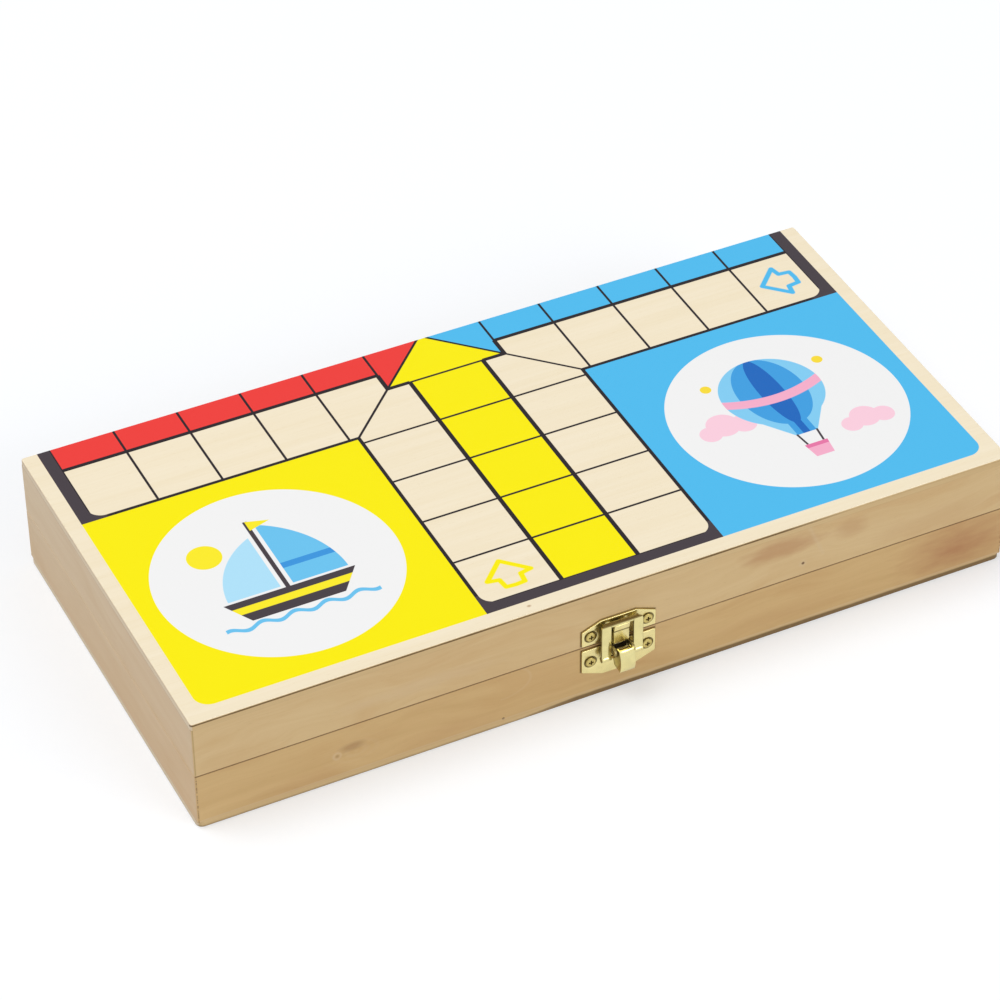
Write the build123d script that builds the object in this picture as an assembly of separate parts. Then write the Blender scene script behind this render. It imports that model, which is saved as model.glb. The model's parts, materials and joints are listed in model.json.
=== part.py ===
from build123d import *
import os

# A folding ludo board box: two shallow wooden trays, hinged along the back and held shut by a
# toggle catch at the front. Each tray's outer sheet is one half of the board, so the box opens
# to 180 degrees. The pawns and the die are kept inside.
# +Z is up, +X to the right, and the front faces -Y. The origin is the middle of the closed
# box's underside. All lengths are in millimetres.

# Trays
BOX_LENGTH = 300.0
BOX_DEPTH = 149.0
TRAY_HEIGHT = 22.5
SHEET_THICKNESS = 2.5
WALL_THICKNESS = 8.0
WALL_CORNER_RADIUS = 0.5
SHEET_CORNER_RADIUS = {"base": 2.5, "lid": 1.0}
SHEET_EDGE_RADIUS = 0.4
RIM_CHAMFER = 0.3

# Butt hinges, let into the rims of the two back walls
HINGE_INSET = 55.0      # from each end of the box to the middle of its hinge
HINGE_LENGTH = 20.0
HINGE_SETBACK = 0.2
LEAF_WIDTH = 6.0
LEAF_THICKNESS = 0.8
LEAF_GAP = 0.1
KNUCKLE_RADIUS = 1.6
MIDDLE_KNUCKLE = 7.6
KNUCKLE_GAP = 0.15
HINGE_PIN_RADIUS = 0.75
HINGE_SCREW_SPACING = 12.0
HINGE_SCREW_HEAD = 1.5
HINGE_SCREW_SHANK = 0.75
HINGE_SCREW_LENGTH = 7.0

# Toggle catch. Its parts are drawn in two numbers: how far out they stand from the front face,
# and how far above the seam between the trays they lie.
CATCH_OFFSET = 1.2
PLATE_THICKNESS = 0.8
PLATE_WIDTH = 27.3
PLATE_CORNER_RADIUS = 0.6
PLATE_EDGE_RADIUS = 0.2
KEEPER_FOOT = 1.0
KEEPER_EAR_TOP = 7.1
KEEPER_TOP = 10.0
KEEPER_TOP_WIDTH = 13.0
TONGUE_WIDTH = 5.6
TONGUE_GAP = 1.0
TONGUE_TOP = 7.8
TONGUE_BEND_LEVEL = 0.3
TONGUE_KINK_LEVEL = 4.8
TONGUE_LEAN = 0.6
BODY_PLATE_TOP = -1.0
BODY_PLATE_EAR_FOOT = -10.3
BODY_PLATE_FOOT = -13.3
BODY_PLATE_FOOT_WIDTH = 12.0
NOTCH_FOOT = -4.3
LEVER_PIVOT = (4.4, -2.4)
LEVER_NOSE_RADIUS = 1.3
LEVER_WIDTH = 5.5
LEVER_SHEET = 0.7
LEVER_TOP = (6.3, -0.8)
LEVER_BULGE = (7.7, -5.2)
LEVER_FOOT = (7.0, -9.4)
LEVER_HEEL = (2.8, -9.0)
LEVER_BACK_OUT = 1.6
LEVER_BACK_LEVELS = (-6.3, -4.2)
LUG_THICKNESS = 0.8
LUG_RADIUS = 1.2
LUG_SIDE_GAP = 0.2
LOOP_PIVOT = (2.8, -5.2)
LOOP_WIDTH = 15.4
LOOP_WINDOW = 8.2
LOOP_SHEET = 0.9
LOOP_FRONT_OUT = 3.4
LOOP_FLANGE_DEPTH = 2.0
LOOP_FLANGE_SHEET = 1.0
LOOP_EYE_RADIUS = 1.05
LOOP_REST_GAP = 0.3
LOOP_CORNER_RADIUS = 1.2
CATCH_PIN_RADIUS = 0.6
CATCH_SCREW_SPACING = 21.0
CATCH_SCREW_HEAD = 1.9
CATCH_SCREW_HEAD_HEIGHT = 0.7
SCREW_GROOVE = (1.6, 2.3)
SCREW_GROOVE_DEPTH = 0.4
CATCH_SCREW_SHANK = 0.9
SCREW_COVER = 1.5

# Shared fits
PIN_CLEARANCE = 0.05
SCREW_CLEARANCE = 0.1
SCREW_END_ROOM = 1.0
MORTISE_CLEARANCE = 0.1
DRIVE_SLOT = 0.45
DRIVE_DEPTH = 0.6
SCREW_TIP_RADIUS = 0.08
EDGE_SHARE = 1 / 3      # an edge's rounding, as a share of the thickness it is on
OVERRUN = 1.0           # how far a cut runs past the faces it opens

# Playing pieces, standing in the lower tray
PAWN_HEIGHT = 24.0
PAWN_BASE_RADIUS = 6.0
PAWN_NECK_RADIUS = 2.3
PAWN_HEAD_RADIUS = 4.2
PAWN_FOOT_HEIGHT = 2.0
PAWN_PITCH = 16.0
PAWN_MARGIN = 4.0
PAWNS_PER_COLOUR = 4
PAWN_COLOURS = ("red", "yellow", "green", "blue")
DIE_SIZE = 12.0
DIE_TURN = 20.0
DIE_EDGE_RADIUS = 1.2
PIP_RADIUS = 1.1
PIP_DEPTH = 0.5
PIP_SPREAD = 3.1

# Worked out from the above
SEAM = TRAY_HEIGHT
WALL_HEIGHT = TRAY_HEIGHT - SHEET_THICKNESS
FRONT = -BOX_DEPTH / 2
BACK = BOX_DEPTH / 2
HINGE_AXIS_Y = BACK + HINGE_SETBACK
LOOP_TOP = TONGUE_TOP + LOOP_REST_GAP + LOOP_FLANGE_SHEET
SIDE_VIEW = Plane(origin=(CATCH_OFFSET, FRONT, SEAM), x_dir=(0, -1, 0), z_dir=(-1, 0, 0))
FRONT_VIEW = Plane(origin=(CATCH_OFFSET, FRONT, SEAM), x_dir=(1, 0, 0), z_dir=(0, -1, 0))

parts = {}


def along_x(x, y, z, radius, length):
    """A round bar whose middle is at x, y, z, lying along X."""
    return Pos(x, y, z) * Rot(0, 90, 0) * Cylinder(radius, length)


def span_box(x_range, y_range, z_range):
    """A block between two limits on each axis."""
    size = [high - low for low, high in (x_range, y_range, z_range)]
    middle = [(high + low) / 2 for low, high in (x_range, y_range, z_range)]
    return Pos(*middle) * Box(*size)


def on_tray(tray, shape):
    """Put a shape drawn upwards from a rim at level 0 on the lid, or upside down on the base."""
    if tray == "base":
        shape = mirror(shape, about=Plane.XY)
    return Pos(0, 0, SEAM) * shape


# ---- Screws

def drive_cross(head_radius):
    """The cross recess of a screw, its mouth at level 0 and its depth downwards."""
    bar = Box(head_radius, DRIVE_SLOT, 2 * DRIVE_DEPTH)
    return bar + Rot(0, 0, 90) * bar


def screw_shank(radius, length):
    """A screw's shank from level 0 downwards, ending in a point."""
    tip = 2 * radius
    shank = Pos(0, 0, -(length - tip) / 2) * Cylinder(radius, length - tip)
    point = Pos(0, 0, -length + tip / 2) * Cone(SCREW_TIP_RADIUS, radius, tip)
    return shank + point


def pan_screw(bite):
    """A pan-head screw along -Z, the underside of its head at level 0."""
    rim = CATCH_SCREW_HEAD_HEIGHT * EDGE_SHARE
    profile = make_face(Curve() + [
        Polyline((0, CATCH_SCREW_HEAD_HEIGHT), (0, 0), (CATCH_SCREW_HEAD, 0), (CATCH_SCREW_HEAD, rim)),
        EllipticalCenterArc((0, rim), CATCH_SCREW_HEAD, CATCH_SCREW_HEAD_HEIGHT - rim, 0, arc_size=90)])
    head = revolve(Plane.XZ * profile, Axis.Z)
    head -= Pos(0, 0, CATCH_SCREW_HEAD_HEIGHT) * drive_cross(CATCH_SCREW_HEAD)
    return head + screw_shank(CATCH_SCREW_SHANK, bite)


def countersunk_screw():
    """A flat-head screw along -Z, the top of its head at level 0."""
    depth = HINGE_SCREW_HEAD - HINGE_SCREW_SHANK
    head = Pos(0, 0, -depth / 2) * Cone(HINGE_SCREW_SHANK, HINGE_SCREW_HEAD, depth)
    return head + screw_shank(HINGE_SCREW_SHANK, HINGE_SCREW_LENGTH) - drive_cross(HINGE_SCREW_HEAD)


# ---- Where things sit on each tray

def hinge_middles():
    middle = BOX_LENGTH / 2 - HINGE_INSET
    return {"left": -middle, "right": middle}


def hinge_screw_places(x):
    """The two screws of one hinge leaf, midway between its inner edge and the knuckles."""
    y = BACK - (LEAF_WIDTH + KNUCKLE_RADIUS) / 2
    return [(x + side * HINGE_SCREW_SPACING / 2, y) for side in (-1, 1)]


def ear_middle(foot, ear_end, far_end, far_width):
    """How far above the seam the middle of a catch plate's ear is, at its screw."""
    slope = (far_end - ear_end) / ((PLATE_WIDTH - far_width) / 2)
    edge = ear_end + slope * (PLATE_WIDTH - CATCH_SCREW_SPACING) / 2
    return (foot + edge) / 2


CATCH_SCREW_LEVEL = {
    "lid": ear_middle(KEEPER_FOOT, KEEPER_EAR_TOP, KEEPER_TOP, KEEPER_TOP_WIDTH),
    "base": ear_middle(BODY_PLATE_TOP, BODY_PLATE_EAR_FOOT, BODY_PLATE_FOOT, BODY_PLATE_FOOT_WIDTH),
}


def catch_screw_places(tray):
    """The two screws of one catch plate: across from the catch's middle, and above the seam."""
    return [(side * CATCH_SCREW_SPACING / 2, CATCH_SCREW_LEVEL[tray]) for side in (-1, 1)]


CATCH_SCREW_BITE = PLATE_THICKNESS + WALL_THICKNESS - SCREW_COVER


# ---- Wooden trays

def tray_ring():
    """Four walls as one ring, rim at level 0, with the hinge beds cut into the back."""
    ring = extrude(RectangleRounded(BOX_LENGTH, BOX_DEPTH, WALL_CORNER_RADIUS), WALL_HEIGHT)
    front_rim = ring.edges().filter_by(Axis.X).group_by(Axis.Y)[0].sort_by(Axis.Z)[0]
    ring = chamfer(front_rim, RIM_CHAMFER)
    inner_length = BOX_LENGTH - 2 * WALL_THICKNESS
    inner_depth = BOX_DEPTH - 2 * WALL_THICKNESS
    ring -= Pos(0, 0, WALL_HEIGHT / 2) * Box(inner_length, inner_depth, WALL_HEIGHT + 2 * OVERRUN)
    reach = HINGE_LENGTH / 2 + MORTISE_CLEARANCE
    for x in hinge_middles().values():
        ring -= span_box((x - reach, x + reach),
                         (BACK - LEAF_WIDTH - MORTISE_CLEARANCE, BACK + OVERRUN),
                         (-OVERRUN, LEAF_GAP + LEAF_THICKNESS))
        ring -= along_x(x, HINGE_AXIS_Y, 0, KNUCKLE_RADIUS + KNUCKLE_GAP, 2 * reach)
        for screw_x, screw_y in hinge_screw_places(x):
            hole = HINGE_SCREW_SHANK + PIN_CLEARANCE
            ring -= Pos(screw_x, screw_y, HINGE_SCREW_LENGTH / 2) * Cylinder(hole, HINGE_SCREW_LENGTH + OVERRUN)
    return ring


def mitre_wedge(wall):
    """The plan area between two mitres, from which the named wall is cut."""
    x, y = BOX_LENGTH / 2 + OVERRUN, BOX_DEPTH / 2 + OVERRUN
    reach = WALL_THICKNESS + 2 * OVERRUN
    along_front = [(-x, -y), (x, -y), (x - reach, -y + reach), (-x + reach, -y + reach)]
    along_left = [(-x, -y), (-x, y), (-x + reach, y - reach), (-x + reach, -y + reach)]
    corners = {
        "front": along_front,
        "back": [(px, -py) for px, py in along_front],
        "left": along_left,
        "right": [(-px, py) for px, py in along_left],
    }[wall]
    return extrude(make_face(Polyline(*corners, close=True)), WALL_HEIGHT)


def catch_screw_holes(tray):
    """The catch screws' pilot holes in a tray's front wall, in place."""
    depth = WALL_THICKNESS - SCREW_COVER + SCREW_END_ROOM
    hole = Cylinder(CATCH_SCREW_SHANK + PIN_CLEARANCE, 2 * depth)
    return [FRONT_VIEW * Pos(x, level, 0) * hole for x, level in catch_screw_places(tray)]


def make_tray(tray):
    ring = tray_ring()
    for wall in ("front", "back", "left", "right"):
        piece = on_tray(tray, ring & mitre_wedge(wall))
        if wall == "front":
            for hole in catch_screw_holes(tray):
                piece -= hole
        parts[f"{tray}_{wall}_wall"] = piece
    sheet = extrude(RectangleRounded(BOX_LENGTH, BOX_DEPTH, SHEET_CORNER_RADIUS[tray]), SHEET_THICKNESS)
    sheet = fillet(sheet.edges().group_by(Axis.Z)[-1], SHEET_EDGE_RADIUS)
    parts[f"{tray}_sheet"] = on_tray(tray, Pos(0, 0, WALL_HEIGHT) * sheet)


# ---- Hinges

def hinge_leaf(x, tray):
    """One leaf drawn over a rim at level 0. The base's has the end knuckles, the lid's the middle."""
    leaf = span_box((x - HINGE_LENGTH / 2, x + HINGE_LENGTH / 2),
                    (BACK - LEAF_WIDTH, HINGE_AXIS_Y),
                    (LEAF_GAP, LEAF_GAP + LEAF_THICKNESS))
    end_length = (HINGE_LENGTH - MIDDLE_KNUCKLE) / 2 - KNUCKLE_GAP
    end_shift = (HINGE_LENGTH - end_length) / 2
    ends = [(x - end_shift, end_length), (x + end_shift, end_length)]
    middle = [(x, MIDDLE_KNUCKLE)]
    own, other = (middle, ends) if tray == "lid" else (ends, middle)
    for knuckle_x, length in other:
        room = length + 2 * KNUCKLE_GAP
        leaf -= along_x(knuckle_x, HINGE_AXIS_Y, 0, KNUCKLE_RADIUS + KNUCKLE_GAP, room)
    for knuckle_x, length in own:
        leaf += along_x(knuckle_x, HINGE_AXIS_Y, 0, KNUCKLE_RADIUS, length)
    leaf -= along_x(x, HINGE_AXIS_Y, 0, HINGE_PIN_RADIUS + PIN_CLEARANCE, HINGE_LENGTH + OVERRUN)
    for screw_x, screw_y in hinge_screw_places(x):
        depth = HINGE_SCREW_HEAD - HINGE_SCREW_SHANK
        seat = Cone(HINGE_SCREW_HEAD + PIN_CLEARANCE, HINGE_SCREW_SHANK + PIN_CLEARANCE, depth)
        leaf -= Pos(screw_x, screw_y, LEAF_GAP + depth / 2) * seat
        leaf -= Pos(screw_x, screw_y, 0) * Cylinder(HINGE_SCREW_SHANK + PIN_CLEARANCE, 4 * LEAF_THICKNESS)
    return leaf


def make_hinges():
    for tray in ("base", "lid"):
        screws = Part()
        for side, x in hinge_middles().items():
            parts[f"hinge_{side}_{tray}_leaf"] = on_tray(tray, hinge_leaf(x, tray))
            for screw_x, screw_y in hinge_screw_places(x):
                screws += Pos(screw_x, screw_y, LEAF_GAP) * Rot(180, 0, 0) * countersunk_screw()
        parts[f"{tray}_hinge_screws"] = on_tray(tray, screws)
    for side, x in hinge_middles().items():
        parts[f"hinge_{side}_pin"] = along_x(x, HINGE_AXIS_Y, SEAM, HINGE_PIN_RADIUS, HINGE_LENGTH)


# ---- Toggle catch

def out_from_front(face, start, thickness):
    """A front-view face given a thickness, from a distance out of the front face."""
    return extrude(FRONT_VIEW * Pos(0, 0, start) * face, thickness)


def across(face, middle, width):
    """A side-view face given a width along X, about a distance from the catch's middle."""
    return Pos(middle, 0, 0) * extrude(SIDE_VIEW * face, width / 2, both=True)


def catch_plate(tray, foot, ear_end, far_end, far_width):
    """A flat six-sided plate, its front edges rounded, with a ring pressed in round each screw."""
    half, far_half = PLATE_WIDTH / 2, far_width / 2
    corners = [(-half, foot), (half, foot), (half, ear_end), (far_half, far_end),
               (-far_half, far_end), (-half, ear_end)]
    outline = make_face(Polyline(*corners, close=True))
    outline = fillet(outline.vertices(), PLATE_CORNER_RADIUS)
    plate = out_from_front(outline, 0, PLATE_THICKNESS)
    plate = fillet(plate.edges().group_by(Axis.Y)[0], PLATE_EDGE_RADIUS)
    for x, level in catch_screw_places(tray):
        hole = Cylinder(CATCH_SCREW_SHANK + SCREW_CLEARANCE, 4 * PLATE_THICKNESS)
        plate -= FRONT_VIEW * Pos(x, level, 0) * hole
        inner, outer = SCREW_GROOVE
        groove = Pos(x, level) * (Circle(outer) - Circle(inner))
        plate -= out_from_front(groove, PLATE_THICKNESS - SCREW_GROOVE_DEPTH, PLATE_THICKNESS)
    return plate


def tongue_profile():
    """The keeper's hook in side view: down the plate, round a bend and up to a tip that leans out."""
    outer = (2 * PLATE_THICKNESS + TONGUE_GAP) / 2
    inner = TONGUE_GAP / 2
    back, front = PLATE_THICKNESS + TONGUE_GAP, 2 * outer
    height = TONGUE_KINK_LEVEL - TONGUE_BEND_LEVEL
    middle = (TONGUE_KINK_LEVEL + TONGUE_BEND_LEVEL) / 2
    hook = Pos(outer, middle) * Rectangle(2 * outer, height) + Pos(outer, TONGUE_BEND_LEVEL) * Circle(outer)
    hook -= Pos(outer, middle + OVERRUN) * Rectangle(2 * inner, height + 2 * OVERRUN)
    tip = make_face(Polyline((back, TONGUE_KINK_LEVEL), (front, TONGUE_KINK_LEVEL),
                             (front + TONGUE_LEAN, TONGUE_TOP), (back + TONGUE_LEAN, TONGUE_TOP), close=True))
    return hook - Pos(outer, TONGUE_BEND_LEVEL) * Circle(inner) + tip


def keeper():
    plate = catch_plate("lid", KEEPER_FOOT, KEEPER_EAR_TOP, KEEPER_TOP, KEEPER_TOP_WIDTH)
    tongue = across(tongue_profile(), 0, TONGUE_WIDTH)
    tip = tongue.edges().filter_by(Axis.X).group_by(Axis.Z)[-1].sort_by(Axis.Y)[:2]
    return plate + fillet(tip, PLATE_THICKNESS * EDGE_SHARE)


def body_plate():
    """The base's catch plate, notched below the tongue, with two lugs for the lever's pin."""
    plate = catch_plate("base", BODY_PLATE_TOP, BODY_PLATE_EAR_FOOT, BODY_PLATE_FOOT, BODY_PLATE_FOOT_WIDTH)
    lug_inner = LEVER_WIDTH / 2 + LUG_SIDE_GAP
    notch_height = BODY_PLATE_TOP - NOTCH_FOOT + OVERRUN
    notch = Pos(0, NOTCH_FOOT + notch_height / 2) * Rectangle(2 * lug_inner, notch_height)
    plate -= out_from_front(notch, -OVERRUN, PLATE_THICKNESS + 2 * OVERRUN)
    out, level = LEVER_PIVOT
    foot = level - LUG_RADIUS
    stem = Pos(out / 2, (BODY_PLATE_TOP + foot) / 2) * Rectangle(out, BODY_PLATE_TOP - foot)
    lug = stem + Pos(out, level) * Circle(LUG_RADIUS)
    lug -= Pos(out, level) * Circle(CATCH_PIN_RADIUS + PIN_CLEARANCE)
    for side in (-1, 1):
        plate += across(lug, side * (lug_inner + LUG_THICKNESS / 2), LUG_THICKNESS)
    return plate


def lever_front():
    """The lever's bulging front in side view."""
    return ThreePointArc(LEVER_TOP, LEVER_BULGE, LEVER_FOOT)


def lever_outline():
    """One cheek of the lever in side view, with a round nose about the lever's pin."""
    out, level = LEVER_PIVOT
    low_back, high_back = [(LEVER_BACK_OUT, back_level) for back_level in LEVER_BACK_LEVELS]
    body = make_face(Curve() + [
        lever_front(),
        Polyline(LEVER_FOOT, LEVER_HEEL, low_back, high_back, (out - LEVER_NOSE_RADIUS, level),
                 (out, level + LEVER_NOSE_RADIUS), LEVER_TOP)])
    return body + Pos(out, level) * Circle(LEVER_NOSE_RADIUS)


def lever():
    """A channel of sheet metal, open at the back and the ends: a bulging front and two cheeks."""
    outline = lever_outline()
    bulge = lever_front()
    hollow = Pos(bulge.arc_center.X, bulge.arc_center.Y) * Circle(bulge.radius - LEVER_SHEET)
    channel = across(outline - hollow, 0, LEVER_WIDTH)
    for side in (-1, 1):
        channel += across(outline, side * (LEVER_WIDTH - LEVER_SHEET) / 2, LEVER_SHEET)
    hole = Circle(CATCH_PIN_RADIUS + PIN_CLEARANCE)
    for pivot in (LEVER_PIVOT, LOOP_PIVOT):
        channel -= across(Pos(*pivot) * hole, 0, LEVER_WIDTH + OVERRUN)
    return channel


def loop():
    """A window of sheet metal: two legs with eyes, and a flange turned back over the tongue."""
    out, level = LOOP_PIVOT
    height = LOOP_TOP - level
    window_height = height - LOOP_FLANGE_SHEET
    frame = Pos(0, level + height / 2) * Rectangle(LOOP_WIDTH, height)
    frame = fillet(frame.vertices().group_by(Axis.Y)[-1], LOOP_CORNER_RADIUS)
    frame -= Pos(0, level + window_height / 2) * Rectangle(LOOP_WINDOW, window_height)
    piece = out_from_front(frame, LOOP_FRONT_OUT - LOOP_SHEET, LOOP_SHEET)
    flange_middle = LOOP_TOP - LOOP_FLANGE_SHEET / 2
    flange = Pos(LOOP_FRONT_OUT - LOOP_FLANGE_DEPTH / 2, flange_middle)
    flange *= Rectangle(LOOP_FLANGE_DEPTH, LOOP_FLANGE_SHEET)
    flange = fillet(flange.vertices().group_by(Axis.Y)[-1], LOOP_FLANGE_SHEET * EDGE_SHARE)
    piece += across(flange, 0, LOOP_WIDTH - 2 * LOOP_CORNER_RADIUS)
    leg = (LOOP_WIDTH - LOOP_WINDOW) / 2
    eye = Pos(out, level) * Circle(LOOP_EYE_RADIUS)
    hole = Pos(out, level) * Circle(CATCH_PIN_RADIUS + PIN_CLEARANCE)
    for side in (-1, 1):
        piece += across(eye, side * (LOOP_WINDOW + leg) / 2, leg)
    return piece - across(hole, 0, LOOP_WIDTH + OVERRUN)


def make_catch():
    parts["catch_keeper"] = keeper()
    parts["catch_body_plate"] = body_plate()
    parts["catch_lever"] = lever()
    parts["catch_loop"] = loop()
    lug_outside = LEVER_WIDTH + 2 * (LUG_SIDE_GAP + LUG_THICKNESS)
    pin = Circle(CATCH_PIN_RADIUS)
    parts["catch_lever_pin"] = across(Pos(*LEVER_PIVOT) * pin, 0, lug_outside)
    parts["catch_loop_pin"] = across(Pos(*LOOP_PIVOT) * pin, 0, LOOP_WIDTH)
    screw = pan_screw(CATCH_SCREW_BITE)
    for tray, node in (("lid", "catch_keeper_screws"), ("base", "catch_body_screws")):
        screws = Part()
        for x, level in catch_screw_places(tray):
            screws += FRONT_VIEW * Pos(x, level, PLATE_THICKNESS) * screw
        parts[node] = screws


# ---- Playing pieces

def pawn():
    """A turned pawn standing on level 0: a foot, a cone and a ball."""
    head_level = PAWN_HEIGHT - PAWN_HEAD_RADIUS
    foot = Pos(0, 0, PAWN_FOOT_HEIGHT / 2) * Cylinder(PAWN_BASE_RADIUS, PAWN_FOOT_HEIGHT)
    foot = fillet(foot.edges().group_by(Axis.Z)[-1], PAWN_FOOT_HEIGHT * EDGE_SHARE)
    cone_height = head_level - PAWN_FOOT_HEIGHT
    shoulder = (PAWN_BASE_RADIUS + PAWN_HEAD_RADIUS) / 2
    cone = Pos(0, 0, PAWN_FOOT_HEIGHT + cone_height / 2) * Cone(shoulder, PAWN_NECK_RADIUS, cone_height)
    return foot + cone + Pos(0, 0, head_level) * Sphere(PAWN_HEAD_RADIUS)


PIPS = {
    1: [(0, 0)],
    2: [(-1, -1), (1, 1)],
    3: [(-1, -1), (0, 0), (1, 1)],
    4: [(-1, -1), (-1, 1), (1, -1), (1, 1)],
    5: [(-1, -1), (-1, 1), (1, -1), (1, 1), (0, 0)],
    6: [(-1, -1), (-1, 0), (-1, 1), (1, -1), (1, 0), (1, 1)],
}


def die():
    """A die standing on level 0, with opposite faces adding up to seven."""
    cube = Box(DIE_SIZE, DIE_SIZE, DIE_SIZE)
    cube = fillet(cube.edges(), DIE_EDGE_RADIUS)
    ball = (PIP_RADIUS ** 2 + PIP_DEPTH ** 2) / (2 * PIP_DEPTH)
    turns = {5: Rot(0, 0, 0), 2: Rot(180, 0, 0), 1: Rot(90, 0, 0),
             6: Rot(-90, 0, 0), 3: Rot(0, 90, 0), 4: Rot(0, -90, 0)}
    for value, turn in turns.items():
        for across_x, across_y in PIPS[value]:
            height = DIE_SIZE / 2 - PIP_DEPTH + ball
            cube -= turn * Pos(across_x * PIP_SPREAD, across_y * PIP_SPREAD, height) * Sphere(ball)
    return Pos(0, 0, DIE_SIZE / 2) * cube


def make_playing_pieces():
    """Four rows of pawns at the left end of the lower tray, and the die beside them."""
    first_x = -BOX_LENGTH / 2 + WALL_THICKNESS + PAWN_MARGIN + PAWN_BASE_RADIUS
    piece = pawn()
    for row, colour in enumerate(PAWN_COLOURS):
        y = (row - (len(PAWN_COLOURS) - 1) / 2) * PAWN_PITCH
        group = Part()
        for column in range(PAWNS_PER_COLOUR):
            group += Pos(first_x + column * PAWN_PITCH, y, SHEET_THICKNESS) * piece
        parts[f"pawns_{colour}"] = group
    die_x = first_x + PAWNS_PER_COLOUR * PAWN_PITCH
    parts["die"] = Pos(die_x, 0, SHEET_THICKNESS) * Rot(0, 0, DIE_TURN) * die()


def main():
    for tray in ("base", "lid"):
        make_tray(tray)
    make_hinges()
    make_catch()
    make_playing_pieces()
    os.makedirs("parts", exist_ok=True)
    for name, shape in parts.items():
        export_step(shape, f"parts/{name}.step")


main()
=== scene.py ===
"""A folding ludo board box: printed and bare wood, a brass toggle catch, hinges and playing pieces."""

import json
import math

import bpy
from mathutils import Matrix, Vector


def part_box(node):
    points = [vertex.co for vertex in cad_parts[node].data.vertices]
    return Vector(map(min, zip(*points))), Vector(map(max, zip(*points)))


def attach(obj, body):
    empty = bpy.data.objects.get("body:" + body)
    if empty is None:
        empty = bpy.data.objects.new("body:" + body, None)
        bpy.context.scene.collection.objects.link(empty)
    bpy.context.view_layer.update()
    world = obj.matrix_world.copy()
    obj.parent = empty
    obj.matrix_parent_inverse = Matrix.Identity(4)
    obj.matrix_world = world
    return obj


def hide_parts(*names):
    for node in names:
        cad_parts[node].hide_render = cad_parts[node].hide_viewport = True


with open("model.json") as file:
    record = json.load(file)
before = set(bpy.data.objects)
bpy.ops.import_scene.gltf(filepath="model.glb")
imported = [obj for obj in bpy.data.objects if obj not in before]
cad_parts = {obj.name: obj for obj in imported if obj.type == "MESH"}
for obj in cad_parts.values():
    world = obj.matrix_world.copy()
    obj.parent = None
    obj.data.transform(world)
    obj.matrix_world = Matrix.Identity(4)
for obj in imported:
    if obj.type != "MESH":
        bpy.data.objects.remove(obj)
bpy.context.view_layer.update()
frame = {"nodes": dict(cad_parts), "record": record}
bpy.ops.object.select_all(action="DESELECT")

MM = 0.001
record = frame["record"]
BODY_OF = {node: body for body, nodes in record["behaviour"]["bodies"].items() for node in nodes}


def reach(node):
    """The lowest and highest corners of a solid, in millimetres."""
    low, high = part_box(node)
    return low / MM, high / MM


sheet_low, sheet_high = reach("lid_sheet")
BOX_HEIGHT = sheet_high.z
SHEET_THICKNESS = sheet_high.z - sheet_low.z
SEAM = BOX_HEIGHT / 2
FRONT = sheet_low.y
HALF_LENGTH = -sheet_low.x
SKIN = 0.35                     # how deep the marks on a wall's outer face go

keeper_low, keeper_high = reach("catch_keeper")
loop_low, loop_high = reach("catch_loop")
CATCH_MIDDLE = (keeper_low.x + keeper_high.x) / 2
PLATE_HALF_WIDTH = (keeper_high.x - keeper_low.x) / 2
LOOP_HALF_WIDTH = (loop_high.x - loop_low.x) / 2
PLATE_THICKNESS = 0.8
PLATE_GAP = 1.0                 # from the seam to each plate's near edge
KEEPER_SHOULDER = 7.1           # where the upper plate's corners start to slope, above the seam
KEEPER_TOP = 10.0
BODY_SHOULDER = 10.3            # the same of the lower plate, below the seam
BODY_BOTTOM = 13.3
CORNER_SLOPE = (0.93, 0.37)     # square to a sloping corner: along the height and across
LOOP_WINDOW = 8.2
LEVER_WIDTH = 5.5
CATCH_HEAD_RADIUS = 1.9


# ---- Shader maths

class Value:
    """A number that a material works out over its surface. Arithmetic on it adds Math nodes."""

    def __init__(self, finish, socket):
        self.finish = finish
        self.socket = socket

    def __add__(self, other):
        return self.finish.math("ADD", self, other)

    __radd__ = __add__

    def __sub__(self, other):
        return self.finish.math("SUBTRACT", self, other)

    def __rsub__(self, other):
        return self.finish.math("SUBTRACT", other, self)

    def __mul__(self, other):
        return self.finish.math("MULTIPLY", self, other)

    __rmul__ = __mul__

    def __truediv__(self, other):
        return self.finish.math("DIVIDE", self, other)

    def __neg__(self):
        return self * -1.0

    def __abs__(self):
        return self.finish.math("ABSOLUTE", self)

    def __pow__(self, other):
        return self.finish.math("POWER", self, other)

    def __lt__(self, other):
        return self.finish.math("LESS_THAN", self, other)

    def __gt__(self, other):
        return self.finish.math("GREATER_THAN", self, other)

    def low(self, other):
        return self.finish.math("MINIMUM", self, other)

    def high(self, other):
        return self.finish.math("MAXIMUM", self, other)

    def clamp(self):
        return self.finish.math("ADD", self, 0.0, clamp=True)

    def sine(self):
        return self.finish.math("SINE", self)

    def inside(self, soft=0.08):
        """1 where this distance is below 0, with an edge that wide."""
        return self.finish.math("SUBTRACT", 0.5, self * (1.0 / soft), clamp=True)


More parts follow.
